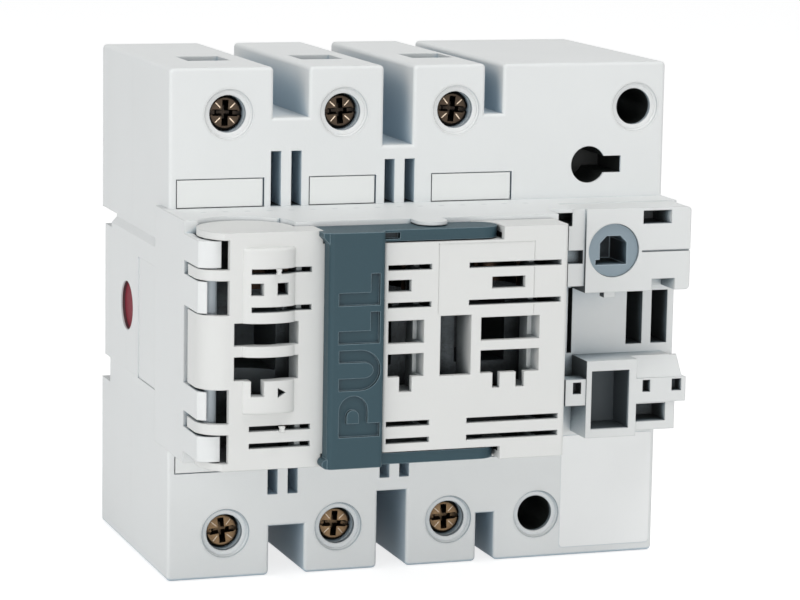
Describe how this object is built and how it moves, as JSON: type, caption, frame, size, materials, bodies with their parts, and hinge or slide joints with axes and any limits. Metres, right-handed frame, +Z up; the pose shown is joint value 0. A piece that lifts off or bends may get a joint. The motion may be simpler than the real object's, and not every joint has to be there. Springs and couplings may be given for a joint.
{
  "type": "fuse switch disconnector",
  "caption": "Rail-mounted fuse switch disconnector with a hinged fuse door, a pull handle, a shaft coupling and screw terminals at both ends.",
  "frame": {"origin": "centre of the raised pad in the rail channel at the back, which seats on the front face of the mounting rail", "axes": "+X to the right seen from the front, +Y out of the back towards the rail, +Z up; the front faces -Y"},
  "size_m": [0.1207, 0.099, 0.117],
  "materials": {
    "housing_plastic": "satin",
    "door_plastic": "satin",
    "handle_plastic": "satin",
    "rotor_plastic": "satin",
    "coupling_plastic": "satin",
    "mechanism_plastic": "satin",
    "plated_steel": "zinc plated",
    "terminal_screw": "dark passivated",
    "contact_copper": "bright"
  },
  "bodies": {
    "housing": {"auxiliary_block": "housing_plastic", "front_housing": "housing_plastic", "fuse_contact_1": "contact_copper", "fuse_contact_2": "contact_copper", "fuse_contact_3": "contact_copper", "housing_screws": "plated_steel", "line_clamp_1": "plated_steel", "line_clamp_2": "plated_steel", "line_clamp_3": "plated_steel", "line_contact_1": "contact_copper", "line_contact_2": "contact_copper", "line_contact_3": "contact_copper", "load_clamp_1": "plated_steel", "load_clamp_2": "plated_steel", "load_clamp_3": "plated_steel", "load_contact_1": "contact_copper", "load_contact_2": "contact_copper", "load_contact_3": "contact_copper", "lower_marker_1": "housing_plastic", "lower_marker_2": "housing_plastic", "lower_marker_3": "housing_plastic", "mechanism_plate": "housing_plastic", "rear_housing": "housing_plastic", "terminal_screws": "terminal_screw", "upper_marker_1": "housing_plastic", "upper_marker_2": "housing_plastic", "upper_marker_3": "housing_plastic"},
    "coupling": {"coupling": "coupling_plastic", "drive_crank": "mechanism_plastic"},
    "yoke": {"yoke": "mechanism_plastic"},
    "rotor": {"contact_rotor": "rotor_plastic", "moving_contact_1": "contact_copper", "moving_contact_2": "contact_copper", "moving_contact_3": "contact_copper"},
    "door": {"fuse_door": "door_plastic"},
    "handle": {"pull_handle": "handle_plastic"},
    "rail_latch": {"rail_latch": "housing_plastic"}
  },
  "joints": [
    {"name": "coupling_turn", "type": "hinge", "parent": "housing", "child": "coupling", "pos_m": [0.0405, -0.06, 0.0171], "axis": [0, 1, 0], "range_deg": [0, 90]},
    {"name": "yoke_slide", "type": "slide", "parent": "housing", "child": "yoke", "axis": [0, 0, -1], "range_m": [0, 0.0099]},
    {"name": "rotor_turn", "type": "hinge", "parent": "housing", "child": "rotor", "pos_m": [0, -0.0215, 0], "axis": [1, 0, 0], "range_deg": [0, 90]},
    {"name": "door_hinge", "type": "hinge", "parent": "housing", "child": "door", "pos_m": [-0.0574, -0.0807, 0], "axis": [0, 0, -1], "range_deg": [0, 95]},
    {"name": "handle_pivot", "type": "hinge", "parent": "door", "child": "handle", "pos_m": [0.0026, -0.0847, 0], "axis": [0, 0, 1], "range_deg": [0, 80]},
    {"name": "rail_latch_slide", "type": "slide", "parent": "housing", "child": "rail_latch", "axis": [0, 0, -1], "range_m": [0, 0.004], "stiffness_N_per_m": 2000, "springref_m": -0.001}
  ],
  "couplings": [
    {"joint": "yoke_slide", "follows": "coupling_turn", "m_per_rad": 0.006302},
    {"joint": "rotor_turn", "follows": "coupling_turn", "ratio": 1}
  ]
}
